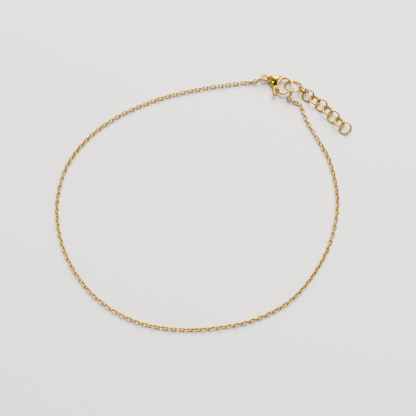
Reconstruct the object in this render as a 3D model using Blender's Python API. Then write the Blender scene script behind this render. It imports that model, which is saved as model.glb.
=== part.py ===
"""A chain anklet, fastened and lying flat: a fine cable chain, a lobster clasp and an extender of round rings.

Units are metres, +Z is up and the table is at Z = 0. The origin is on the table, at the middle of the
anklet. The clasp is the place that the rest follows: each ring hangs on the one before it, and the fine
chain runs from the clasp's eye right round to the ring at its other end.
"""

import math
from typing import NamedTuple

import bmesh
import bpy
from mathutils import Matrix, Vector

MM = 0.001

# Lobster clasp
CLASP_PLACE = (17.2 * MM, 35.1 * MM)  # the middle of its eye
CLASP_HEADING = -18.7  # degrees, from the eye to the claw
CLASP_LENGTH = 9.9 * MM
CLASP_THICKNESS = 2.4 * MM
EYE_OUTER = 2.4 * MM
EYE_HOLE = 1.12 * MM
EYE_THICKNESS = 0.8 * MM
HOOP_HOLE_LENGTH = 3.34 * MM
HOOP_HOLE_WIDTH = 4.0 * MM
HOOP_RIM = 0.75 * MM
LEVER_THICKNESS = 0.95 * MM
LEVER_WIDTH = 0.9 * MM
LEVER_SIDE_GAP = 0.1 * MM
LEVER_OPENING = 8.0  # degrees, which lets the clasp ring's wire past
LEVER_INSET = 0.06 * MM  # of its inner edge, outside the hoop's hole
NUB_DIAMETER = 1.15 * MM
NUB_REACH = 3.43 * MM  # from the pivot
FIN_BOW = 0.18 * MM
PIN_DIAMETER = 0.6 * MM
PIN_GAP = 0.07 * MM

# Fine cable chain
LINK_WIDTH = 1.24 * MM
LINK_WIRE = 0.33 * MM
LINK_LENGTH = 1.8 * MM
LINK_PLAY = 0.09 * MM  # between a link's end and what it holds
CHAIN_END_GAP = 0.1 * MM

# Rings: outer diameter and wire
CONNECTOR_OUTER = 3.25 * MM
CONNECTOR_WIRE = 0.46 * MM
CLASP_RING_OUTER = 5.4 * MM
CLASP_RING_WIRE = 0.6 * MM
END_RING_OUTER = 3.55 * MM
END_RING_WIRE = 0.44 * MM
EXTENDER_OUTER = 3.65 * MM
EXTENDER_WIRE = 0.58 * MM
RING_PLAY = 0.13 * MM  # between a ring's wire and the wire that it hangs on
CLASP_RING_PLACE = (-0.1 * MM, 0.48 * MM)  # its middle, from the claw's outer edge, in the clasp's own frame

# How each ring hangs on the one before it, in degrees: the place round that one's wire, the bearing it's
# pulled toward, and the share of its room that it has moved
CONNECTOR_HANG = (44.0, 207.0, 0.65)
END_RING_HANG = (-101.0, -112.0, 0.36)
EXTENDER_HANG = (-21.0, -25.0, 1.0)
EXTENDER_SECOND_HANG = (3.0, -84.0, 0.65)

# How each ring lies, in degrees: the way its first radius heads, that radius's rise, and its roll about it
CONNECTOR_LIE = (198.0, -24.0, 68.0)
CLASP_RING_LIE = (-3.0, 0.0, -29.0)
END_RING_LIE = (-122.0, -34.0, 90.0)
EXTENDER_FIRST_LIE = (-31.0, 0.0, -80.0)
EXTENDER_SECOND_LIE = (-38.0, 0.0, 24.0)
EXTENDER_HEADINGS = (-38.0, -42.0, -49.0, -48.0, -46.0, -46.0)  # the others, pulled out straight
EXTENDER_ROLL = 24.0  # to one side and the other in turn

# The fine chain's way round the ankle, between its two end links, in millimetres on the table
CHAIN_ROUTE_MM = (
    (8.4, 33.4), (-2.7, 31.6), (-13.4, 28.7), (-23.5, 24.2), (-32.3, 17.6), (-38.5, 8.7), (-40.6, -2.0),
    (-38.8, -12.6), (-33.8, -22.0), (-26.3, -29.3), (-17.0, -33.9), (-6.9, -35.6), (3.3, -35.2),
    (13.3, -33.1), (22.6, -28.4), (29.7, -20.8), (34.7, -11.4), (36.8, -0.8), (35.2, 10.1), (31.6, 17.6),
    (29.2, 22.1), (28.1, 25.2), (27.3, 27.1),
)
CHAIN_POINTS = 80

RING_SEGMENTS = 16
WIRE_SIDES = 6
GOLD = (0.83, 0.58, 0.22, 1.0)
PALE_GOLD = (0.87, 0.64, 0.28, 1.0)


class Ring(NamedTuple):
    """A round ring: its centre, two unit vectors in its plane, its middle radius and its wire's diameter."""

    centre: Vector
    along: Vector
    across: Vector
    radius: float
    wire: float

    def point(self, degrees):
        angle = math.radians(degrees)
        return self.centre + self.radius * (math.cos(angle) * self.along + math.sin(angle) * self.across)


def collection(name):
    made = bpy.data.collections.new(name)
    bpy.context.scene.collection.children.link(made)
    return made


def start_scene():
    for old in list(bpy.data.objects):
        bpy.data.objects.remove(old, do_unlink=True)
    return collection("chain_anklet"), collection("cutters")


def metal(name, colour, roughness):
    material = bpy.data.materials.new(name)
    material.use_nodes = True
    shader = material.node_tree.nodes["Principled BSDF"]
    shader.inputs["Base Color"].default_value = colour
    shader.inputs["Metallic"].default_value = 1.0
    shader.inputs["Roughness"].default_value = roughness
    return material


def placed(mesh, name, group, material=None, matrix=None):
    made = bpy.data.objects.new(name, mesh)
    group.objects.link(made)
    if matrix is not None:
        made.matrix_world = matrix
    if material is not None:
        mesh.materials.append(material)
        mesh.shade_smooth()
    else:
        made.hide_render = True
        made.display_type = "WIRE"
    return made


def cut_or_join(target, other, operation):
    change = target.modifiers.new(f"{operation.lower()}_{other.name}", "BOOLEAN")
    change.operation = operation
    change.object = other


def heading_vector(degrees):
    return Vector((math.cos(math.radians(degrees)), math.sin(math.radians(degrees)), 0.0))


def lying_ring(plan, lie, outer, wire):
    """A ring whose lowest side touches the table, with its middle over plan."""
    heading, slope, lean = lie
    rise, roll = math.radians(slope), math.radians(lean)
    level = heading_vector(heading)
    side = Vector((-level.y, level.x, 0.0))
    along = level * math.cos(rise) + Vector((0.0, 0.0, math.sin(rise)))
    across = side * math.cos(roll) + along.cross(side) * math.sin(roll)
    radius = (outer - wire) / 2
    height = wire / 2 + radius * math.hypot(along.z, across.z)
    return Ring(Vector((plan.x, plan.y, height)), along, across, radius, wire)


def hung_ring(holder, hang, lie, outer, wire):
    """A ring passed round the holder's wire."""
    angle, bearing, share = hang
    room = (outer - wire) / 2 - (holder.wire + wire) / 2 - RING_PLAY
    plan = holder.point(angle) + heading_vector(bearing) * room * share
    return lying_ring(plan, lie, outer, wire)


def frame_of(centre, along, across):
    matrix = Matrix((along, across, along.cross(across))).transposed().to_4x4()
    return Matrix.Translation(centre) @ matrix


def torus(radius, wire, segments=RING_SEGMENTS, sides=WIRE_SIDES):
    bpy.ops.mesh.primitive_torus_add(
        major_radius=radius, minor_radius=wire / 2, major_segments=segments, minor_segments=sides
    )
    made = bpy.context.object
    mesh = made.data
    bpy.data.objects.remove(made)
    return mesh


def add_ring(name, ring, group, material):
    return placed(torus(ring.radius, ring.wire), name, group, material, frame_of(ring.centre, ring.along, ring.across))


def add_link(name, centre, along, across, group, material):
    """A long link: a ring pulled apart along its length."""
    mesh = torus((LINK_WIDTH - LINK_WIRE) / 2, LINK_WIRE)
    stretch = (LINK_LENGTH - LINK_WIDTH) / 2
    for vertex in mesh.vertices:
        if abs(vertex.co.x) > LINK_WIRE / 8:
            vertex.co.x += math.copysign(stretch, vertex.co.x)
    return placed(mesh, name, group, material, frame_of(centre, along, across))


def end_link(name, ring, toward, group, material):
    """The chain's last link, round the ring's far side, and the point where the chain goes on from it."""
    hold = ring.point(0.0)
    level = (Vector((toward.x, toward.y, 0.0)) - Vector((hold.x, hold.y, 0.0))).normalized()
    reach = 2 * LINK_LENGTH / 2 - LINK_WIRE - ring.wire / 2 - LINK_PLAY + CHAIN_END_GAP
    drop = min(0.9, max(-0.9, (LINK_WIDTH / 2 - hold.z) / reach))
    along = level * math.sqrt(1 - drop * drop) + Vector((0.0, 0.0, drop))
    across = ring.across.cross(along).normalized()
    centre = hold + along * (LINK_LENGTH / 2 - LINK_WIRE - ring.wire / 2 - LINK_PLAY)
    add_link(name, centre, along, across, group, material)
    return centre + along * (LINK_LENGTH / 2 + CHAIN_END_GAP)


def smooth_route(points, count):
    """Points evenly spaced in each stretch on a smooth curve through the route's own points."""
    ends = [points[0] * 2 - points[1], *points, points[-1] * 2 - points[-2]]
    stretches = len(points) - 1
    route = []
    for step in range(count):
        place = step / (count - 1) * stretches
        index = min(int(place), stretches - 1)
        t = place - index
        before, start, end, after = ends[index : index + 4]
        route.append(
            0.5
            * (
                2 * start
                + (end - before) * t
                + (2 * before - 5 * start + 4 * end - after) * t**2
                + (3 * start - before - 3 * end + after) * t**3
            )
        )
    return route


def add_chain(name, start, end, group, material):
    """The loop of fine chain as a tube of its width, lying on the table."""
    middle = [Vector((x * MM, y * MM, LINK_WIDTH / 2)) for x, y in CHAIN_ROUTE_MM]
    start.z = end.z = LINK_WIDTH / 2
    curve = bpy.data.curves.new(name, "CURVE")
    curve.dimensions = "3D"
    curve.bevel_depth = LINK_WIDTH / 2
    curve.bevel_resolution = 2
    curve.use_fill_caps = True
    curve.materials.append(material)
    route = smooth_route([start, *middle, end], CHAIN_POINTS)
    spline = curve.splines.new("POLY")
    spline.points.add(len(route) - 1)
    for point, place in zip(spline.points, route):
        point.co = (*place, 1.0)
    made = bpy.data.objects.new(name, curve)
    group.objects.link(made)
    return made


def loft(rows, sides):
    """A closed rod through oval sections: rows of x, y, half width and half height, level with the clasp's middle."""
    work = bmesh.new()
    sections = []
    for index, (x, y, half_width, half_height) in enumerate(rows):
        before, after = rows[max(index - 1, 0)], rows[min(index + 1, len(rows) - 1)]
        way = Vector((after[0] - before[0], after[1] - before[1], 0.0)).normalized()
        side = Vector((-way.y, way.x, 0.0))
        section = []
        for step in range(sides):
            angle = 2 * math.pi * (step + 0.5) / sides
            offset = side * half_width * math.cos(angle) + Vector((0, 0, half_height * math.sin(angle)))
            section.append(work.verts.new(Vector((x, y, CLASP_THICKNESS / 2)) + offset))
        sections.append(section)
    for one, two in zip(sections, sections[1:]):
        for step in range(sides):
            follow = (step + 1) % sides
            work.faces.new((one[step], one[follow], two[follow], two[step]))
    work.faces.new(sections[0])
    work.faces.new(sections[-1])
    bmesh.ops.recalc_face_normals(work, faces=work.faces)
    mesh = bpy.data.meshes.new("loft")
    work.to_mesh(mesh)
    work.free()
    return mesh


def block(low, high):
    work = bmesh.new()
    size = high - low
    bmesh.ops.create_cube(work, size=1.0, matrix=Matrix.Translation((low + high) / 2) @ Matrix.Diagonal((*size, 1.0)))
    mesh = bpy.data.meshes.new("block")
    work.to_mesh(mesh)
    work.free()
    return mesh


def cylinder(x, y, radius, height, segments=16):
    work = bmesh.new()
    middle = Matrix.Translation((x, y, CLASP_THICKNESS / 2))
    bmesh.ops.create_cone(
        work, cap_ends=True, segments=segments, radius1=radius, radius2=radius, depth=height, matrix=middle
    )
    mesh = bpy.data.meshes.new("cylinder")
    work.to_mesh(mesh)
    work.free()
    return mesh


# The clasp in its own frame: X from the eye to the claw, the lever on the -Y side
CLAW_END = CLASP_LENGTH - EYE_OUTER / 2
HOOP_X = CLAW_END - HOOP_RIM - HOOP_HOLE_LENGTH / 2
HOOP_Y = -0.265 * HOOP_HOLE_WIDTH / 2
PIVOT_X = 0.44 * HOOP_X
PIVOT_Y = -0.25 * HOOP_HOLE_WIDTH


def round_hoop(degrees, outside):
    """A point outside the hoop's oval hole by a distance."""
    angle = math.radians(degrees)
    along, across = HOOP_HOLE_LENGTH / 2 + outside, HOOP_HOLE_WIDTH / 2 + outside
    return HOOP_X + along * math.cos(angle), HOOP_Y + across * math.sin(angle)


def claw_rows():
    """The hoop's rim from the body's lever side round to the claw's tip, which laps outside the lever's.

    Columns: angle round the hoop in degrees, then, as shares of HOOP_RIM, the inner edge's place outside
    the hoop's hole and half the rim's width and height.
    """
    table = (
        (242, 0, 0.44, 1.10), (226, 0, 0.50, 1.22), (206, 0, 0.52, 1.30), (184, 0, 0.52, 1.34),
        (162, 0, 0.50, 1.30), (142, 0, 0.46, 1.16), (122, 0, 0.42, 0.92), (102, 0, 0.41, 0.72),
        (82, 0, 0.43, 0.58), (64, 0, 0.46, 0.54), (47, 0, 0.49, 0.53), (31, 0, 0.50, 0.53),
        (15, 0, 0.50, 0.54), (0, 0, 0.50, 0.55), (-15, 0.14, 0.43, 0.54), (-30, 0.40, 0.31, 0.50),
        (-42, 0.68, 0.21, 0.44),
    )
    rows = []
    for degrees, inset, width, height in table:
        half = width * HOOP_RIM
        rows.append((*round_hoop(degrees, inset * HOOP_RIM + half), half, height * HOOP_RIM))
    return rows


def tail_rows():
    """The domed body between the eye and the hoop.

    Columns: shares of HOOP_X along, then its upper edge, its lower edge as shares of the hoop's half width,
    and half its height as a share of half of CLASP_THICKNESS.
    """
    table = (
        (0.127, 0.18, -0.18, 0.38), (0.224, 0.33, -0.27, 0.66), (0.340, 0.49, -0.41, 0.94),
        (0.457, 0.63, -0.60, 1.10), (0.583, 0.70, -0.80, 1.16), (0.700, 0.74, -0.95, 1.12), (0.830, 0.74, -1.04, 0.92),
    )
    outer = HOOP_HOLE_WIDTH / 2 + HOOP_RIM
    rows = []
    for along, upper, lower, height in table:
        middle, half = (upper + lower) / 2 * outer, (upper - lower) / 2 * outer
        rows.append((along * HOOP_X, middle, half, height * CLASP_THICKNESS / 2))
    return rows


def lever_arm_rows():
    """The lever from behind its pivot out to the claw's tip.

    Columns of the part round the hoop: angle in degrees, then half its width as a share of LEVER_WIDTH.
    """
    half = LEVER_WIDTH / 2
    height = LEVER_THICKNESS / 2
    table = ((-112, 0.47), (-98, 0.47), (-84, 0.45), (-71, 0.40), (-60, 0.33), (-51, 0.25), (-44, 0.18))
    onward = Vector((*round_hoop(table[0][0], LEVER_INSET + table[0][1] * LEVER_WIDTH), 0.0))
    pivot = Vector((PIVOT_X, PIVOT_Y, 0.0))
    rows = [(PIVOT_X - 0.9 * half, PIVOT_Y + 0.45 * half, 0.6 * half, height * 0.9), (PIVOT_X, PIVOT_Y, half, height)]
    for share in (0.36, 0.68):
        place = pivot.lerp(onward, share)
        rows.append((place.x, place.y, half, height))
    for degrees, width in table:
        share = width * LEVER_WIDTH
        rows.append((*round_hoop(degrees, LEVER_INSET + share), share, height))
    return rows


def nub_place():
    way = math.radians(-62.6)
    return PIVOT_X + NUB_REACH * math.cos(way), PIVOT_Y + NUB_REACH * math.sin(way)


def nub_rows():
    """The fin that carries the nub, from the pivot outwards, bowed toward the hoop."""
    nub = Vector((*nub_place(), 0.0))
    pivot = Vector((PIVOT_X, PIVOT_Y, 0.0))
    away = (nub - pivot).normalized()
    aside = Vector((-away.y, away.x, 0.0))
    rows = []
    for share, width, height in ((0.0, 0.36, 0.80), (0.35, 0.36, 0.76), (0.65, 0.33, 0.68), (0.95, 0.28, 0.54)):
        place = pivot.lerp(nub, share) + aside * FIN_BOW * math.sin(math.pi * share)
        rows.append((place.x, place.y, width * LEVER_WIDTH, height * LEVER_THICKNESS / 2))
    return rows


def clasp_matrix():
    return Matrix.Translation((*CLASP_PLACE, 0.0)) @ Matrix.Rotation(math.radians(CLASP_HEADING), 4, "Z")


def clasp_body(group, cutters, material):
    """One casting: the eye, the domed body with its slot, the hoop and the claw."""
    matrix = clasp_matrix()
    body = placed(loft(tail_rows(), 14), "clasp_body", group, material, matrix)
    middle = Matrix.Translation((HOOP_X, HOOP_Y, 0.0))
    oval = Matrix.Diagonal((HOOP_HOLE_LENGTH + 0.6 * HOOP_RIM, HOOP_HOLE_WIDTH + 0.6 * HOOP_RIM, 1.0, 1.0))
    hole = cylinder(0.0, 0.0, 0.5, 2 * CLASP_THICKNESS, 32)
    hole.transform(middle @ oval)
    cut_or_join(body, placed(hole, "hoop_hole", cutters, None, matrix), "DIFFERENCE")
    cut_or_join(body, placed(loft(claw_rows(), 10), "claw", cutters, None, matrix), "UNION")
    eye = torus((EYE_OUTER + EYE_HOLE) / 4, (EYE_OUTER - EYE_HOLE) / 2, 20, 8)
    stretch = EYE_THICKNESS / ((EYE_OUTER - EYE_HOLE) / 2)
    eye.transform(Matrix.Translation((0, 0, CLASP_THICKNESS / 2)) @ Matrix.Diagonal((1, 1, stretch, 1)))
    cut_or_join(body, placed(eye, "eye", cutters, None, matrix), "UNION")

    flat = CLASP_THICKNESS
    far = 2 * CLASP_LENGTH
    for name, low in (("under", -flat), ("over", flat)):
        trim = block(Vector((-far, -far, low)), Vector((far, far, low + flat)))
        cut_or_join(body, placed(trim, name, cutters, None, matrix), "DIFFERENCE")

    gap = LEVER_THICKNESS / 2 + LEVER_SIDE_GAP
    half = LEVER_WIDTH / 2
    slot = block(
        Vector((-1.75 * half, -2.5 * CLASP_THICKNESS, -gap)),
        Vector((HOOP_X - PIVOT_X, 1.45 * half, gap)),
    )
    turn = Matrix.Rotation(math.radians(LEVER_OPENING - 26.0), 4, "Z")
    seat = Matrix.Translation((PIVOT_X, PIVOT_Y, CLASP_THICKNESS / 2)) @ turn
    cut_or_join(body, placed(slot, "slot", cutters, None, matrix @ seat), "DIFFERENCE")
    bore = cylinder(PIVOT_X, PIVOT_Y, PIN_DIAMETER / 2 + PIN_GAP, 2 * CLASP_THICKNESS)
    cut_or_join(body, placed(bore, "body_bore", cutters, None, matrix), "DIFFERENCE")
    return body


def clasp_lever(group, cutters, material):
    """The sprung lever, made about its pivot so that it turns there."""
    matrix = clasp_matrix()
    pivot = Matrix.Translation((PIVOT_X, PIVOT_Y, 0.0))
    arm = loft(lever_arm_rows(), 10)
    arm.transform(pivot.inverted())
    lever = placed(arm, "clasp_lever", group, material, matrix @ pivot)
    cut_or_join(lever, placed(loft(nub_rows(), 8), "nub_fin", cutters, None, matrix), "UNION")
    work = bmesh.new()
    place = Matrix.Translation((*nub_place(), CLASP_THICKNESS / 2))
    bmesh.ops.create_uvsphere(work, u_segments=14, v_segments=9, radius=NUB_DIAMETER / 2, matrix=place)
    ball = bpy.data.meshes.new("nub")
    work.to_mesh(ball)
    work.free()
    cut_or_join(lever, placed(ball, "nub", cutters, None, matrix), "UNION")
    bore = cylinder(PIVOT_X, PIVOT_Y, PIN_DIAMETER / 2 + PIN_GAP, 2 * CLASP_THICKNESS)
    cut_or_join(lever, placed(bore, "lever_bore", cutters, None, matrix), "DIFFERENCE")
    return lever


def clasp_pin(group, material):
    pin = cylinder(PIVOT_X, PIVOT_Y, PIN_DIAMETER / 2, 0.76 * CLASP_THICKNESS)
    return placed(pin, "clasp_pin", group, material, clasp_matrix())


def build():
    group, cutters = start_scene()
    cast = metal("cast_gold_plate", GOLD, 0.2)
    wire = metal("wire_gold_plate", PALE_GOLD, 0.22)

    clasp_body(group, cutters, cast)
    clasp_lever(group, cutters, metal("lever_gold_plate", GOLD, 0.2))
    clasp_pin(group, metal("pin_gold_plate", GOLD, 0.25))

    clasp = clasp_matrix()
    eye = Ring(
        clasp @ Vector((0, 0, CLASP_THICKNESS / 2)),
        heading_vector(CLASP_HEADING + 180),
        heading_vector(CLASP_HEADING + 270),
        (EYE_OUTER + EYE_HOLE) / 4,
        (EYE_OUTER - EYE_HOLE) / 2,
    )
    connector = hung_ring(eye, CONNECTOR_HANG, CONNECTOR_LIE, CONNECTOR_OUTER, CONNECTOR_WIRE)
    add_ring("connector_ring", connector, group, metal("connector_gold_plate", PALE_GOLD, 0.22))

    along, aside = CLASP_RING_PLACE
    held_at = clasp @ Vector((CLAW_END + along, HOOP_Y + aside, 0.0))
    clasp_ring = lying_ring(held_at, CLASP_RING_LIE, CLASP_RING_OUTER, CLASP_RING_WIRE)
    add_ring("clasp_ring", clasp_ring, group, metal("clasp_ring_gold_plate", PALE_GOLD, 0.22))

    end_ring = hung_ring(clasp_ring, END_RING_HANG, END_RING_LIE, END_RING_OUTER, END_RING_WIRE)
    add_ring("chain_end_ring", end_ring, group, metal("end_ring_gold_plate", PALE_GOLD, 0.22))

    extender = metal("extender_gold_plate", PALE_GOLD, 0.24)
    ring = hung_ring(clasp_ring, EXTENDER_HANG, EXTENDER_FIRST_LIE, EXTENDER_OUTER, EXTENDER_WIRE)
    add_ring("extender_ring_0", ring, group, extender)
    ring = hung_ring(ring, EXTENDER_SECOND_HANG, EXTENDER_SECOND_LIE, EXTENDER_OUTER, EXTENDER_WIRE)
    add_ring("extender_ring_1", ring, group, extender)
    for index, heading in enumerate(EXTENDER_HEADINGS, start=2):
        lie = (heading, 0.0, EXTENDER_ROLL if index % 2 else -EXTENDER_ROLL)
        ring = hung_ring(ring, (0.0, heading, 1.0), lie, EXTENDER_OUTER, EXTENDER_WIRE)
        add_ring(f"extender_ring_{index}", ring, group, extender)

    first, last = (Vector((x * MM, y * MM, 0.0)) for x, y in (CHAIN_ROUTE_MM[0], CHAIN_ROUTE_MM[-1]))
    start = end_link("first_link", connector, first, group, wire)
    end = end_link("last_link", end_ring, last, group, wire)
    add_chain("fine_chain", start, end, group, metal("chain_gold_plate", PALE_GOLD, 0.24))


build()
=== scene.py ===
"""A fine gold-plated anklet, fastened and lying on a pale table, seen from nearly straight above."""

import bisect
import math
import random

import bmesh
import bpy
import numpy as np
from mathutils import Matrix, Vector


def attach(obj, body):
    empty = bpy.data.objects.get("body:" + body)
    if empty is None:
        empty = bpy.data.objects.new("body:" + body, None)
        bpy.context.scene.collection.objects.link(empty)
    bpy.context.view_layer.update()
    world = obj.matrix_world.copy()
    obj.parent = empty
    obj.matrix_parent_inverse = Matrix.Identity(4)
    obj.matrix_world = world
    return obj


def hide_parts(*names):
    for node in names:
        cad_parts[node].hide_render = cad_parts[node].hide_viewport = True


MM = 0.001
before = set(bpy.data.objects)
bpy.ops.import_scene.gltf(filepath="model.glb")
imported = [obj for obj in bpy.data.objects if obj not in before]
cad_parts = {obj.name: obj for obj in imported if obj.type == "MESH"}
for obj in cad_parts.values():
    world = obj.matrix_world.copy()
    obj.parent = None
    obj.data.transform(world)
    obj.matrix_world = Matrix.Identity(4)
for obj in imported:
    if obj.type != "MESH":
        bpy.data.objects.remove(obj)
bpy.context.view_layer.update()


# The fine chain: about 200 oval links of drawn brass wire, each closed through the one before, soldered,
# tumbled bright and gold plated. Laid out on a table, a cable chain's links lean half over to one side and
# the other in turn, and where it is slack it rolls, so that here and there a link lies flat.

LINK_LENGTH = 1.83 * MM
LINK_WIDTH = 1.22 * MM
LINK_WIRE = 0.36 * MM
LINK_PITCH = 1.11 * MM
END_LINK_LEAD = 0.56 * LINK_LENGTH  # from an end link's middle to where the chosen route is joined
ROUTE_STEPS = 1200
CHAIN_ROUTE_MM = (
    (8.4, 33.4), (-2.7, 31.6), (-13.4, 28.7), (-23.5, 24.2), (-32.3, 17.6), (-38.5, 8.7), (-40.6, -2.0),
    (-38.8, -12.6), (-33.8, -22.0), (-26.3, -29.3), (-17.0, -33.9), (-6.9, -35.6), (3.3, -35.2),
    (13.3, -33.1), (22.6, -28.4), (29.7, -20.8), (34.7, -11.4), (36.8, -0.8), (35.2, 10.1), (31.6, 17.6),
    (29.2, 22.1), (28.1, 25.2), (27.3, 27.1),
)
MOST_ROLL = 34.0  # degrees that the chain rolls away from its even lean
LEAST_SLACK = 0.35  # the share of that roll which is left at the chain's first link
ROLL_WAVES = ((0.6, 5.1, 1.3), (0.4, 2.3, 0.4))  # share, links for each radian, start
END_HOLD = 2.6  # links over which an end link's own roll dies away
ROLL_SHAKE = 5.0  # degrees, chance
HEADING_SHAKE = 2.5  # degrees, chance
COLOUR_A, COLOUR_B, COLOUR_OUT = 6, 7, 2  # the Mix node's colour sockets, whose names others share


def from_hex(code):
    """An sRGB hex colour as the linear one that the shader takes."""
    parts = [int(code[place : place + 2], 16) / 255 for place in (1, 3, 5)]
    return (*(part / 12.92 if part <= 0.04045 else ((part + 0.055) / 1.055) ** 2.4 for part in parts), 1.0)


def add_node(tree, kind, settings=None, links=None):
    """One node, with its settings and its input links."""
    node = tree.nodes.new(kind)
    for name, value in (settings or {}).items():
        if hasattr(node, name):
            setattr(node, name, value)
        else:
            node.inputs[name].default_value = value
    for name, socket in (links or {}).items():
        tree.links.new(socket, node.inputs[name])
    return node


def gold_plate(name, bright, dull, smooth, rough, smear_mm, ripple_mm, ripple_depth_mm):
    """Gold plating on polished brass.

    A metal's colour is all in its reflection, so the eye gets pale yellow where it mirrors a light and
    brown where it mirrors the dark. Handling leaves faint smears, and the plating follows the ripples that
    tumbling leaves in the brass, drawn coarser here than the real ones so that they show.
    """
    material = bpy.data.materials.new(name)
    material.use_nodes = True
    tree = material.node_tree
    shader = tree.nodes["Principled BSDF"]
    shader.inputs["Metallic"].default_value = 1.0
    place = add_node(tree, "ShaderNodeTexCoord").outputs["Object"]
    smear = add_node(
        tree,
        "ShaderNodeTexNoise",
        {"Scale": 1 / (smear_mm * MM), "Detail": 4.0, "Roughness": 0.6},
        {"Vector": place},
    )
    tint = add_node(tree, "ShaderNodeMix", {"data_type": "RGBA"}, {"Factor": smear.outputs["Fac"]})
    tint.inputs[COLOUR_A].default_value = from_hex(bright)
    tint.inputs[COLOUR_B].default_value = from_hex(dull)
    tree.links.new(tint.outputs[COLOUR_OUT], shader.inputs["Base Color"])
    haze = add_node(
        tree,
        "ShaderNodeMapRange",
        {"From Min": 0.3, "From Max": 0.7, "To Min": smooth, "To Max": rough},
        {"Value": smear.outputs["Fac"]},
    )
    tree.links.new(haze.outputs["Result"], shader.inputs["Roughness"])
    ripple = add_node(
        tree, "ShaderNodeTexNoise", {"Scale": 1 / (ripple_mm * MM), "Detail": 2.0}, {"Vector": place}
    )
    bump = add_node(
        tree,
        "ShaderNodeBump",
        {"Strength": 0.5, "Distance": ripple_depth_mm * MM},
        {"Height": ripple.outputs["Fac"]},
    )
    tree.links.new(bump.outputs["Normal"], shader.inputs["Normal"])
    return material


def mesh_from(name, points, faces):
    """A mesh of lists of points and faces."""
    mesh = bpy.data.meshes.new(name)
    mesh.from_pydata([tuple(point) for point in points], [], faces)
    return mesh


def show(mesh, material, body, node):
    """A piece of the anklet, riding on a body in place of a CAD node."""
    mesh.materials.clear()
    mesh.materials.append(material)
    mesh.shade_smooth()
    piece = bpy.data.objects.new(mesh.name, mesh)
    bpy.context.scene.collection.objects.link(piece)
    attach(piece, body)
    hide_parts(node)


def rest_frame(node):
    """The middle of a CAD node, and its own three directions from the longest to the shortest."""
    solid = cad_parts[node]
    points = np.array([solid.matrix_world @ vertex.co for vertex in solid.data.vertices])
    middle = points.mean(axis=0)
    directions = np.linalg.svd(points - middle, full_matrices=False)[2]
    return Vector(middle), [Vector(direction) for direction in directions]


def smooth_route(points, count):
    """A number of places along the smooth curve through the points."""
    ends = [points[0] * 2 - points[1], *points, points[-1] * 2 - points[-2]]
    route = []
    for step in range(count):
        place = step / (count - 1) * (len(points) - 1)
        index = min(int(place), len(points) - 2)
        t = place - index
        before, start, end, after = ends[index : index + 4]
        route.append(
            0.5
            * (
                2 * start
                + (end - before) * t
                + (2 * before - 5 * start + 4 * end - after) * t**2
                + (3 * start - before - 3 * end + after) * t**3
            )
        )
    return route


def wire_loop(rail, tangents, sideways, wire, sides):
    """The points and faces of a closed round wire that follows a rail lying across sideways."""
    points, faces = [], []
    for place, tangent in zip(rail, tangents):
        outward = tangent.cross(sideways)
        for side in range(sides):
            angle = 2 * math.pi * side / sides
            points.append(place + wire / 2 * (math.cos(angle) * outward + math.sin(angle) * sideways))
    rows = len(rail)
    for row in range(rows):
        here, beyond = row * sides, (row + 1) % rows * sides
        for side in range(sides):
            follow = (side + 1) % sides
            faces.append((here + side, here + follow, beyond + follow, beyond + side))
    return points, faces


def oval_link(centre, along, across, sides=12, bends=12):
    """One link: two half rings with straight sides between them."""
    radius = (LINK_WIDTH - LINK_WIRE) / 2
    straight = (LINK_LENGTH - LINK_WIDTH) / 2
    rail, tangents = [], []
    for half, shift in ((0, straight), (1, -straight)):
        for step in range(bends + 1):
            angle = math.pi * (half + step / bends) - math.pi / 2
            forward = shift + radius * math.cos(angle)
            rail.append(centre + along * forward + across * radius * math.sin(angle))
            tangents.append(across * math.cos(angle) - along * math.sin(angle))
    return wire_loop(rail, tangents, along.cross(across), LINK_WIRE, sides)


first_middle, (first_along, first_across, _) = rest_frame("first_link")
last_middle, (last_along, last_across, _) = rest_frame("last_link")
chosen_route = [Vector((x * MM, y * MM, LINK_WIDTH / 2)) for x, y in CHAIN_ROUTE_MM]
if first_along.dot(chosen_route[0] - first_middle) < 0:
    first_along = -first_along
if last_along.dot(chosen_route[-1] - last_middle) < 0:
    last_along = -last_along
lead_in = first_middle + first_along * END_LINK_LEAD
lead_out = last_middle + last_along * END_LINK_LEAD
chain_line = smooth_route([lead_in, *chosen_route, lead_out], ROUTE_STEPS)
chain_line = [first_middle, *chain_line, last_middle]
reached = [0.0]
for one, two in zip(chain_line, chain_line[1:]):
    reached.append(reached[-1] + (two - one).length)
link_count = round(reached[-1] / LINK_PITCH)

first_roll = math.atan2(first_across.z, first_across.dot(Vector((-first_along.y, first_along.x, 0.0))))
last_roll = math.atan2(last_across.z, last_across.dot(Vector((last_along.y, -last_along.x, 0.0))))
last_roll += math.pi / 2 * link_count
shake = random.Random(5)
rolls, centres = [], []
for number in range(link_count + 1):
    place = reached[-1] * number / link_count
    index = min(bisect.bisect_right(reached, place + 1e-12) - 1, len(chain_line) - 2)
    share = (place - reached[index]) / (reached[index + 1] - reached[index])
    centre = chain_line[index].lerp(chain_line[index + 1], share)
    slack = LEAST_SLACK + (1 - LEAST_SLACK) * number / link_count
    wave = sum(part * math.sin(number / links + start) for part, links, start in ROLL_WAVES)
    roll = math.pi / 4 + math.radians(MOST_ROLL * slack) * wave
    for near, end_roll in ((number, first_roll), (link_count - number, last_roll)):
        turn = (end_roll - roll + math.pi / 2) % math.pi - math.pi / 2
        roll += turn * math.exp(-((near / END_HOLD) ** 2))
    chance = math.radians(shake.uniform(-ROLL_SHAKE, ROLL_SHAKE))
    roll += math.pi / 2 * number + chance * min(1, number, link_count - number)
    rest = LINK_WIRE / 2 + (LINK_WIDTH - LINK_WIRE) / 2 * abs(math.sin(roll))
    if 1 < number < link_count - 1:
        centre.z = rest
    elif 0 < number < link_count:
        centre.z = max(rest, (centre.z + rest) / 2)
    rolls.append(roll)
    centres.append(centre)
heights = [centre.z for centre in centres]
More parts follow.
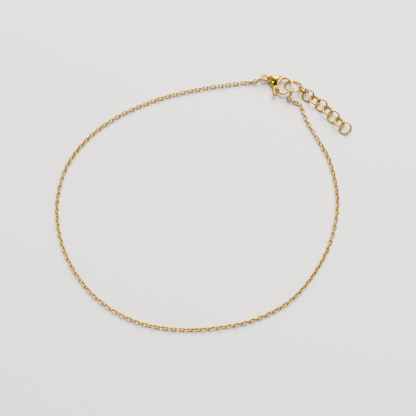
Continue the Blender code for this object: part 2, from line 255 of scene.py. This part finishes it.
for number in range(2, link_count - 1):
    beside = (heights[number - 1] + heights[number + 1]) / 2
    centres[number].z = max(heights[number], (heights[number] + beside) / 2)

links_points, links_faces = [], []
for number in range(1, link_count):
    along = (centres[number + 1] - centres[number - 1]).normalized()
    level = Vector((-along.y, along.x, 0.0)).normalized()
    chance = math.radians(shake.uniform(-HEADING_SHAKE, HEADING_SHAKE))
    level = (Matrix.Rotation(chance, 3, "Z") @ level).normalized()
    along = (along - level * along.dot(level)).normalized()
    across = level * math.cos(rolls[number]) + along.cross(level) * math.sin(rolls[number])
    points, faces = oval_link(centres[number], along, across)
    sunk = min(0.0, min(point.z for point in points))
    start = len(links_points)
    links_points += [point - Vector((0, 0, sunk)) for point in points]
    links_faces += [tuple(start + corner for corner in face) for face in faces]

drawn_wire = gold_plate(
    "gold_plated_drawn_wire", bright="#D3AC3A", dull="#A78328", smooth=0.28, rough=0.40,
    smear_mm=2.5, ripple_mm=0.35, ripple_depth_mm=0.006,
)
chain_mesh = mesh_from("fine_chain_links", links_points, links_faces)
show(chain_mesh, drawn_wire, "anklet", "fine_chain")
for node, middle, along, across in (
    ("first_link", first_middle, first_along, first_across),
    ("last_link", last_middle, last_along, last_across),
):
    link_mesh = mesh_from(f"{node}_wire", *oval_link(middle, along, across, 16, 18))
    show(link_mesh, drawn_wire, "anklet", node)


# The jump rings and the extender's rings: round brass wire wound on a rod, sawn into rings, closed end to
# end and plated. They aren't soldered, so each has a hairline where its two sawn ends meet, one a trace
# higher than the other.

EXTENDER_OUTER = 3.65 * MM
EXTENDER_WIRE = 0.58 * MM
EXTENDER_SLITS = (35, 60, -120, 40, -130, 20, -145, -60)  # degrees, the way from each ring to its slit
RINGS = {
    "connector_ring": (3.25 * MM, 0.46 * MM, 100),
    "clasp_ring": (5.4 * MM, 0.6 * MM, -60),
    "chain_end_ring": (3.55 * MM, 0.44 * MM, 60),
}  # outer diameter, wire, way to the slit
for number, slit_heading in enumerate(EXTENDER_SLITS):
    RINGS[f"extender_ring_{number}"] = (EXTENDER_OUTER, EXTENDER_WIRE, slit_heading)
SAWN_GAP = 0.04 * MM
SAWN_STEP = 0.03 * MM
SAWN_BEVEL = 0.012 * MM
BEVEL_SWELL = 0.86  # of the wire's thickness, at the sawn face
RING_STEPS = 84
RING_SIDES = 18


def sawn_ring(middle, toward, normal, outer, wire):
    """An almost closed ring, its hairline gap on the side that faces toward."""
    radius = (outer - wire) / 2
    across = normal.cross(toward)
    gap, bevel = SAWN_GAP / radius, SAWN_BEVEL / radius
    rows = [(gap / 2, BEVEL_SWELL), (gap / 2 + bevel, 1.0)]
    rows += [(gap / 2 + (2 * math.pi - gap) * step / RING_STEPS, 1.0) for step in range(1, RING_STEPS)]
    rows += [(2 * math.pi - gap / 2 - bevel, 1.0), (2 * math.pi - gap / 2, BEVEL_SWELL)]
    points, faces = [], []
    for angle, swell in rows:
        outward = toward * math.cos(angle) + across * math.sin(angle)
        lift = normal * SAWN_STEP * (angle / (2 * math.pi) - 0.5)
        for side in range(RING_SIDES):
            turn = 2 * math.pi * side / RING_SIDES
            reach = radius + wire / 2 * swell * math.cos(turn)
            points.append(middle + lift + outward * reach + normal * wire / 2 * swell * math.sin(turn))
    last_row = (len(rows) - 1) * RING_SIDES
    for low in range(0, last_row, RING_SIDES):
        high = low + RING_SIDES
        for side in range(RING_SIDES):
            follow = (side + 1) % RING_SIDES
            faces.append((low + side, high + side, high + follow, low + follow))
    faces.append(tuple(range(RING_SIDES)))
    faces.append(tuple(reversed(range(last_row, last_row + RING_SIDES))))
    return points, faces


ring_plate = gold_plate(
    "gold_plated_ring_wire", bright="#D1AA39", dull="#A58126", smooth=0.25, rough=0.36,
    smear_mm=1.8, ripple_mm=0.45, ripple_depth_mm=0.008,
)
for node, (outer, wire, slit_heading) in RINGS.items():
    middle, (_, _, normal) = rest_frame(node)
    slit_angle = math.radians(slit_heading)
    heading = Vector((math.cos(slit_angle), math.sin(slit_angle), 0.0))
    toward = (heading - normal * heading.dot(normal)).normalized()
    ring_mesh = mesh_from(f"{node}_wire", *sawn_ring(middle, toward, normal, outer, wire))
    show(ring_mesh, ring_plate, "anklet", node)


# The clasp's body: a lobster clasp cast in brass by the lost-wax way, with its eye, domed body, hoop and
# claw in one piece, filed round, polished to a mirror and plated. Its sizes here are millimetres in the
# clasp's own frame, with X from the eye to the claw.

CLASP_PLACE = Vector((17.2, 35.1, 0.0)) * MM  # the middle of its eye
CLASP_HEADING = math.radians(-18.7)
CLASP_MATRIX = (
    Matrix.Translation(CLASP_PLACE) @ Matrix.Rotation(CLASP_HEADING, 4, "Z") @ Matrix.Scale(MM, 4)
)
MID = 1.2
HOOP = Vector((6.28, -0.53, MID))
HOLE_HALF_LENGTH = 1.67
HOLE_HALF_WIDTH = 2.0
HOLE_CLEARING = 0.22  # how far the dome is cut back outside the hole, where the rim covers the cut
RIM = 0.75
EYE_RADIUS = 0.88
EYE_WIRE_RADIUS = 0.32
EYE_STRETCH = 1.23  # up and down
PIVOT = Vector((2.7632, -1.0, MID))
RIVET_BORE_RADIUS = 0.36
LEVER_HALF_WIDTH = 0.45
LEVER_HALF_THICKNESS = 0.475
SLOT_LOW = Vector((-0.7875, -6.0, -0.575))  # from the pivot, turned by SLOT_TURN
SLOT_HIGH = Vector((3.5163, 0.6525, 0.575))
SLOT_TURN = math.radians(-18.0)
CUTTER_HALF_HEIGHT = 3.0
BODY_ROWS = (
    (0.8, 0.0, 0.5, 0.46), (1.41, 0.08, 0.82, 0.80), (2.14, 0.11, 1.24, 1.1), (2.87, 0.04, 1.69, 1.2),
    (3.66, -0.14, 2.06, 1.08), (4.4, -0.29, 2.32, 0.82), (5.21, -0.41, 2.45, 0.62),
)  # x, y, half width, half height
RIM_ROWS = (
    (242, 0, 0.44, 1.06), (226, 0, 0.50, 1.16), (206, 0, 0.52, 1.24), (184, 0, 0.52, 1.28),
    (162, 0, 0.50, 1.24), (142, 0, 0.46, 1.10), (122, 0, 0.42, 0.88), (102, 0, 0.41, 0.70),
    (82, 0, 0.43, 0.58), (64, 0, 0.46, 0.54), (47, 0, 0.49, 0.53), (31, 0, 0.50, 0.53),
    (15, 0, 0.50, 0.54), (0, 0, 0.50, 0.55), (-15, 0.14, 0.43, 0.54), (-30, 0.40, 0.31, 0.50),
    (-42, 0.68, 0.21, 0.44),
)  # degrees round the hole, then shares of RIM: distance outside it, half width, half height


def rows_between(rows, steps):
    """The same rows with a smooth run of more between them."""
    curve = smooth_route([Vector(row) for row in rows], (len(rows) - 1) * steps + 1)
    return [tuple(row) for row in curve]


def rod(rows, sides, squareness=2.0, ridge=0.0):
    """A closed rod through sections: x, y, half width and half height.

    Squareness over 2 fills out its corners. Ridge moves its crests to one side, as a share of the half
    width.
    """
    work = bmesh.new()
    sections = []
    for index, (x, y, half_width, half_height) in enumerate(rows):
        before, after = rows[max(index - 1, 0)], rows[min(index + 1, len(rows) - 1)]
        way = Vector((after[0] - before[0], after[1] - before[1], 0.0)).normalized()
        side = Vector((-way.y, way.x, 0.0))
        section = []
        for step in range(sides):
            angle = 2 * math.pi * step / sides
            wide = math.copysign(abs(math.cos(angle)) ** (2 / squareness), math.cos(angle))
            high = math.copysign(abs(math.sin(angle)) ** (2 / squareness), math.sin(angle))
            across = side * half_width * (wide + ridge * high**2)
            section.append(work.verts.new(Vector((x, y, MID + half_height * high)) + across))
        sections.append(section)
    for one, two in zip(sections, sections[1:]):
        for step in range(sides):
            follow = (step + 1) % sides
            work.faces.new((one[step], one[follow], two[follow], two[step]))
    for end in (sections[0], sections[-1]):
        tip = work.verts.new(sum((vertex.co for vertex in end), Vector()) / sides)
        for step in range(sides):
            work.faces.new((end[step], end[(step + 1) % sides], tip))
    bmesh.ops.recalc_face_normals(work, faces=work.faces)
    return work


def in_clasp(name, work):
    """A solid or a cutter in the clasp's own frame, for a casting to use up."""
    mesh = bpy.data.meshes.new(name)
    work.to_mesh(mesh)
    work.free()
    piece = bpy.data.objects.new(name, mesh)
    bpy.context.scene.collection.objects.link(piece)
    return piece


def melted(name, solids, cutters, grain, easing):
    """Solids joined and cut, then run together as one casting with eased corners."""
    joined = solids[0]
    for other in solids[1:]:
        blend = joined.modifiers.new("join", "BOOLEAN")
        blend.operation = "UNION"
        blend.solver = "EXACT"
        blend.object = other
    for cutter in cutters:
        cut = joined.modifiers.new("cut", "BOOLEAN")
        cut.operation = "DIFFERENCE"
        cut.solver = "EXACT"
        cut.object = cutter
    cast = joined.modifiers.new("cast", "REMESH")
    cast.mode = "VOXEL"
    cast.voxel_size = grain
    ease = joined.modifiers.new("ease", "SMOOTH")
    ease.factor = 0.5
    ease.iterations = easing
    graph = bpy.context.evaluated_depsgraph_get()
    mesh = bpy.data.meshes.new_from_object(joined.evaluated_get(graph))
    for used in (*solids, *cutters):
        bpy.data.objects.remove(used, do_unlink=True)
    mesh.transform(CLASP_MATRIX)
    mesh.name = name
    return mesh


def round_post(place, radius, segments=48):
    """An upright post through the clasp, to cut a hole with."""
    work = bmesh.new()
    bmesh.ops.create_cone(
        work, cap_ends=True, segments=segments, radius1=radius, radius2=radius,
        depth=2 * CUTTER_HALF_HEIGHT, matrix=Matrix.Translation(place),
    )
    return work


def round_hoop(degrees, outside):
    """A place outside the hoop's oval hole by a distance."""
    angle = math.radians(degrees)
    return (
        HOOP.x + (HOLE_HALF_LENGTH + outside) * math.cos(angle),
        HOOP.y + (HOLE_HALF_WIDTH + outside) * math.sin(angle),
    )


rim_rows = []
for degrees, inset, width, height in rows_between(RIM_ROWS, 4):
    half = width * RIM
    rim_rows.append((*round_hoop(degrees, inset * RIM + half), half, height * RIM))
bpy.ops.mesh.primitive_torus_add(
    major_radius=EYE_RADIUS, minor_radius=EYE_WIRE_RADIUS, major_segments=64, minor_segments=20
)
eye = bpy.context.object
eye.data.transform(Matrix.Translation((0, 0, MID)) @ Matrix.Diagonal((1, 1, EYE_STRETCH, 1)))
hole_work = round_post(Vector((0, 0, MID)), 1.0, 72)
hole_stretch = Matrix.Diagonal((HOLE_HALF_LENGTH + HOLE_CLEARING, HOLE_HALF_WIDTH + HOLE_CLEARING, 1, 1))
hole_seat = Matrix.Translation((HOOP.x, HOOP.y, 0)) @ hole_stretch
bmesh.ops.transform(hole_work, verts=hole_work.verts, matrix=hole_seat)
hoop_hole = in_clasp("hoop_hole", hole_work)
dome = in_clasp("dome", rod(rows_between(BODY_ROWS, 4), 48, squareness=1.9, ridge=0.3))
hollow = dome.modifiers.new("hoop_hole", "BOOLEAN")
hollow.operation = "DIFFERENCE"
hollow.object = hoop_hole
slot_work = bmesh.new()
slot_shape = Matrix.Translation((SLOT_LOW + SLOT_HIGH) / 2) @ Matrix.Diagonal((*(SLOT_HIGH - SLOT_LOW), 1))
slot_seat = Matrix.Translation(PIVOT) @ Matrix.Rotation(SLOT_TURN, 4, "Z")
bmesh.ops.create_cube(slot_work, size=1.0, matrix=slot_seat @ slot_shape)
body_mesh = melted(
    "clasp_body_cast",
    [dome, in_clasp("rim", rod(rim_rows, 28)), eye],
    [in_clasp("lever_slot", slot_work), in_clasp("rivet_hole", round_post(PIVOT, RIVET_BORE_RADIUS))],
    grain=0.055,
    easing=4,
)
bpy.data.objects.remove(hoop_hole, do_unlink=True)
cast_plate = gold_plate(
    "gold_plated_polished_casting", bright="#D5B040", dull="#B08B2C", smooth=0.14, rough=0.24,
    smear_mm=2.6, ripple_mm=0.9, ripple_depth_mm=0.012,
)
show(body_mesh, cast_plate, "anklet", "clasp_body")


# The lever: a sprung arm, cast and polished like the body, that turns on the rivet between the body's two
# cheeks and closes the hoop against the claw. A fin behind it carries the ball that a nail pushes.

LEVER_INSET = 0.06  # of its inner edge, outside the hoop's hole
LEVER_BORE_RADIUS = 0.37
ARM_ROUND_HOOP = (
    (-112, 0.94), (-98, 0.94), (-84, 0.90), (-71, 0.80), (-60, 0.66), (-51, 0.50), (-44, 0.36),
)  # degrees round the hole, and the share of LEVER_HALF_WIDTH there
ARM_HEEL = (
    (-0.405, 0.2, 0.27, 0.43), (0.0, 0.0, LEVER_HALF_WIDTH, LEVER_HALF_THICKNESS),
)  # x and y from the pivot, half width, half height
ARM_STRAIGHT = (0.36, 0.68)  # shares of the straight stretch from the pivot to the hoop
BALL_WAY = math.radians(-62.6)
BALL_REACH = 3.43  # from the pivot
BALL_RADIUS = 0.575
FIN_BOW = 0.18
FIN_ROWS = (
    (0.0, 0.32, 0.38), (0.35, 0.32, 0.36), (0.65, 0.30, 0.32), (0.95, 0.25, 0.26),
)  # share of the way to the ball, half width, half height

arm_rows = [(PIVOT.x + x, PIVOT.y + y, width, height) for x, y, width, height in ARM_HEEL]
onward_degrees, onward_share = ARM_ROUND_HOOP[0]
onward = Vector((*round_hoop(onward_degrees, LEVER_INSET + onward_share * LEVER_HALF_WIDTH), MID))
for share in ARM_STRAIGHT:
    place = PIVOT.lerp(onward, share)
    arm_rows.append((place.x, place.y, LEVER_HALF_WIDTH, LEVER_HALF_THICKNESS))
for degrees, share in ARM_ROUND_HOOP:
    half = share * LEVER_HALF_WIDTH
    arm_rows.append((*round_hoop(degrees, LEVER_INSET + half), half, LEVER_HALF_THICKNESS))
ball = PIVOT + BALL_REACH * Vector((math.cos(BALL_WAY), math.sin(BALL_WAY), 0))
fin_side = Vector((-math.sin(BALL_WAY), math.cos(BALL_WAY), 0))
fin_rows = []
for share, width, height in FIN_ROWS:
    place = PIVOT.lerp(ball, share) + fin_side * FIN_BOW * math.sin(math.pi * share)
    fin_rows.append((place.x, place.y, width, height))
ball_work = bmesh.new()
bmesh.ops.create_uvsphere(
    ball_work, u_segments=32, v_segments=20, radius=BALL_RADIUS, matrix=Matrix.Translation(ball)
)
lever_mesh = melted(
    "clasp_lever_cast",
    [
        in_clasp("arm", rod(rows_between(arm_rows, 4), 28, squareness=2.4)),
        in_clasp("fin", rod(rows_between(fin_rows, 5), 20)),
        in_clasp("ball", ball_work),
    ],
    [in_clasp("lever_hole", round_post(PIVOT, LEVER_BORE_RADIUS))],
    grain=0.045,
    easing=3,
)
show(lever_mesh, cast_plate, "lever", "clasp_lever")


# The rivet: a short pin turned from brass, plated and pressed through both cheeks, its ends domed over and
# polished nearly flush. Turning leaves finer ripples than casting does.

RIVET_SIDES = 40
RIVET_END = ((0.0, 0.94), (0.12, 0.935), (0.22, 0.915), (0.28, 0.87), (0.3, 0.8))  # radius, height

rivet_points, rivet_faces = [], []
rivet_rows = [(radius, -height) for radius, height in RIVET_END]
rivet_rows += list(reversed(RIVET_END))
for radius, height in rivet_rows:
    for side in range(RIVET_SIDES):
        turn = 2 * math.pi * side / RIVET_SIDES
        offset = Vector((radius * math.cos(turn), radius * math.sin(turn), height))
        rivet_points.append(CLASP_MATRIX @ (PIVOT + offset))
for row in range(len(rivet_rows) - 1):
    low, high = row * RIVET_SIDES, (row + 1) * RIVET_SIDES
    for side in range(RIVET_SIDES):
        follow = (side + 1) % RIVET_SIDES
        rivet_faces.append((low + side, low + follow, high + follow, high + side))
rivet_plate = gold_plate(
    "gold_plated_rivet", bright="#E0BC4C", dull="#C29835", smooth=0.16, rough=0.26,
    smear_mm=0.8, ripple_mm=0.2, ripple_depth_mm=0.004,
)
show(mesh_from("clasp_rivet", rivet_points, rivet_faces), rivet_plate, "anklet", "clasp_pin")


# The table: a board painted matt off-white, which scatters the light evenly and mirrors nothing. It is so
# smooth that only the faint unevenness of the paint shows.

TABLE_REACH = 2.0  # metres from the middle to each edge
MOTTLE_MM = 14

table_corners = [(x * TABLE_REACH, y * TABLE_REACH, 0) for x, y in ((-1, -1), (1, -1), (1, 1), (-1, 1))]
table_mesh = mesh_from("table", table_corners, [(0, 1, 2, 3)])
table = bpy.data.objects.new("table", table_mesh)
bpy.context.scene.collection.objects.link(table)
paint = bpy.data.materials.new("matt_white_paint")
paint.use_nodes = True
paint_tree = paint.node_tree
paint_shader = paint_tree.nodes["Principled BSDF"]
paint_shader.inputs["Roughness"].default_value = 0.85
paint_place = add_node(paint_tree, "ShaderNodeTexCoord").outputs["Object"]
mottle = add_node(
    paint_tree, "ShaderNodeTexNoise", {"Scale": 1 / (MOTTLE_MM * MM), "Detail": 3.0}, {"Vector": paint_place}
)
shade = add_node(paint_tree, "ShaderNodeMix", {"data_type": "RGBA"}, {"Factor": mottle.outputs["Fac"]})
shade.inputs[COLOUR_A].default_value = from_hex("#F5F4F2")
shade.inputs[COLOUR_B].default_value = from_hex("#F7F6F5")
paint_tree.links.new(shade.outputs[COLOUR_OUT], paint_shader.inputs["Base Color"])
table_mesh.materials.append(paint)


# The light: one broad soft lamp high on the far side, and a pale room all round. Part of the room's ceiling,
# overhead toward the near side, is dark, and gold that mirrors it goes brown.

LAMP_PLACE = Vector((0.14, 0.42, 0.50))
LAMP_WIDTH = 0.66
LAMP_WATTS = 16.5
DARK_CEILING = (0.0, -0.64, 0.77)  # the way to the middle of the dark part
DARK_FROM, DARK_FULL = 0.46, 0.88  # cosines of the angle away from it
ROOM_STRENGTH, DARK_STRENGTH = 1.1, 0.04

soft_lamp = bpy.data.lights.new("soft_lamp", "AREA")
soft_lamp.shape = "DISK"
soft_lamp.size = LAMP_WIDTH
soft_lamp.energy = LAMP_WATTS
soft_lamp.color = from_hex("#FFFDF9")[:3]
lamp = bpy.data.objects.new("soft_lamp", soft_lamp)
lamp.location = LAMP_PLACE
lamp.rotation_euler = (-LAMP_PLACE).to_track_quat("-Z", "Y").to_euler()
bpy.context.scene.collection.objects.link(lamp)
world = bpy.data.worlds.new("pale_room")
bpy.context.scene.world = world
world.use_nodes = True
room_tree = world.node_tree
room_way = add_node(room_tree, "ShaderNodeTexCoord").outputs["Generated"]
toward_dark = add_node(room_tree, "ShaderNodeVectorMath", {"operation": "DOT_PRODUCT"}, {0: room_way})
toward_dark.inputs[1].default_value = DARK_CEILING
room_walls = add_node(
    room_tree,
    "ShaderNodeMapRange",
    {
        "interpolation_type": "SMOOTHSTEP",
        "From Min": DARK_FROM,
        "From Max": DARK_FULL,
        "To Min": ROOM_STRENGTH,
        "To Max": DARK_STRENGTH,
    },
    {"Value": toward_dark.outputs["Value"]},
)
room = room_tree.nodes["Background"]
room.inputs["Color"].default_value = from_hex("#E3E4E8")
room_tree.links.new(room_walls.outputs["Result"], room.inputs["Strength"])


# The camera: 15 cm above the anklet and a little to its near side, looking down at its middle with a lean of
# eleven degrees, as the photo was taken.

CAMERA_AT = Vector((1.0, -31.79, 148.9)) * MM
LOOKING_AT = Vector((1.0, -2.85, 0.0)) * MM

camera = bpy.data.cameras.new("camera")
camera.lens = 47.52
camera.sensor_width = 36.0
camera.clip_start = 0.01
viewer = bpy.data.objects.new("camera", camera)
facing = (LOOKING_AT - CAMERA_AT).to_track_quat("-Z", "Y")
viewer.matrix_world = Matrix.Translation(CAMERA_AT) @ facing.to_matrix().to_4x4()
bpy.context.scene.collection.objects.link(viewer)
bpy.context.scene.camera = viewer
